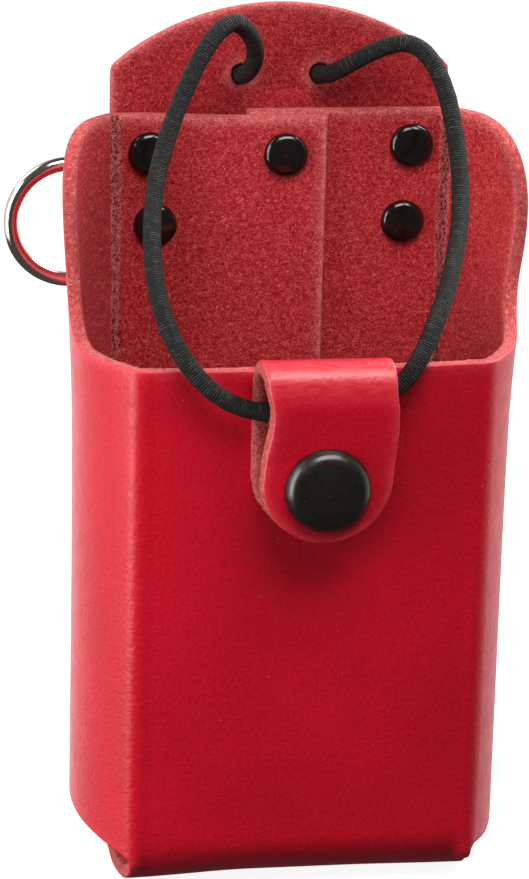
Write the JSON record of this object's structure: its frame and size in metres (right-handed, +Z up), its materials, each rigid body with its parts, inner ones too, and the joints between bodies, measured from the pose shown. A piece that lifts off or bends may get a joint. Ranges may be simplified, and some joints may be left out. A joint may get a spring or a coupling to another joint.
{
  "type": "leather radio case",
  "caption": "Open-top thick leather pouch with a tall arched back tongue, an elastic retaining loop held by a snap-closed keeper strap, riveted back flaps and swinging side D-rings.",
  "frame": {"origin": "under the middle of the case, on the plane of its flat bottom", "axes": "+X to the right as seen from the front, +Y from the front to the back, +Z up"},
  "size_m": [0.0911, 0.081, 0.1534],
  "materials": {
    "case_leather": "satin dyed grain outside, suede flesh inside",
    "strap_leather": "satin dyed grain",
    "ring_nickel": "polished nickel",
    "cord_fabric": "braided",
    "black_lacquer": "gloss black lacquer",
    "spring_steel": "drawn wire",
    "snap_nickel": "nickel plate"
  },
  "bodies": {
    "case": {"case_body": "case_leather", "cord_knot_left": "cord_fabric", "cord_knot_right": "cord_fabric", "keeper_back_leaf": "strap_leather", "ring_tab_left": "strap_leather", "ring_tab_right": "strap_leather", "rivet_cap_base_left": "black_lacquer", "rivet_cap_base_right": "black_lacquer", "rivet_cap_lower_left": "black_lacquer", "rivet_cap_lower_right": "black_lacquer", "rivet_cap_upper_centre": "black_lacquer", "rivet_cap_upper_left": "black_lacquer", "rivet_cap_upper_right": "black_lacquer", "rivet_post_base_left": "black_lacquer", "rivet_post_base_right": "black_lacquer", "rivet_post_lower_left": "black_lacquer", "rivet_post_lower_right": "black_lacquer", "rivet_post_upper_centre": "black_lacquer", "rivet_post_upper_left": "black_lacquer", "rivet_post_upper_right": "black_lacquer", "snap_post": "snap_nickel", "snap_stud": "snap_nickel"},
    "keeper": {"keeper_front_leaf": "strap_leather", "keeper_fold": "strap_leather", "snap_cap": "black_lacquer", "snap_socket": "snap_nickel", "snap_socket_spring": "spring_steel"},
    "left_ring": {"ring_left": "ring_nickel"},
    "right_ring": {"ring_right": "ring_nickel"},
    "cord": {"elastic_cord": "cord_fabric"}
  },
  "joints": [
    {"name": "keeper_open", "type": "hinge", "parent": "case", "child": "keeper", "pos_m": [0.0012, -0.0287, 0.0968], "axis": [-1, 0, 0], "range_deg": [0, 165], "deforming": ["keeper_fold"]},
    {"name": "cord_swing", "type": "hinge", "parent": "case", "child": "cord", "pos_m": [0, 0.0233, 0.14], "axis": [-1, 0, 0], "range_deg": [0, 140], "deforming": ["elastic_cord"]},
    {"name": "left_ring_swing", "type": "hinge", "parent": "case", "child": "left_ring", "pos_m": [-0.032, 0.02833, 0.1116], "axis": [0, 0, 1], "range_deg": [-150, 55]},
    {"name": "right_ring_swing", "type": "hinge", "parent": "case", "child": "right_ring", "pos_m": [0.032, 0.02833, 0.1116], "axis": [0, 0, 1], "range_deg": [-125, 80]}
  ]
}
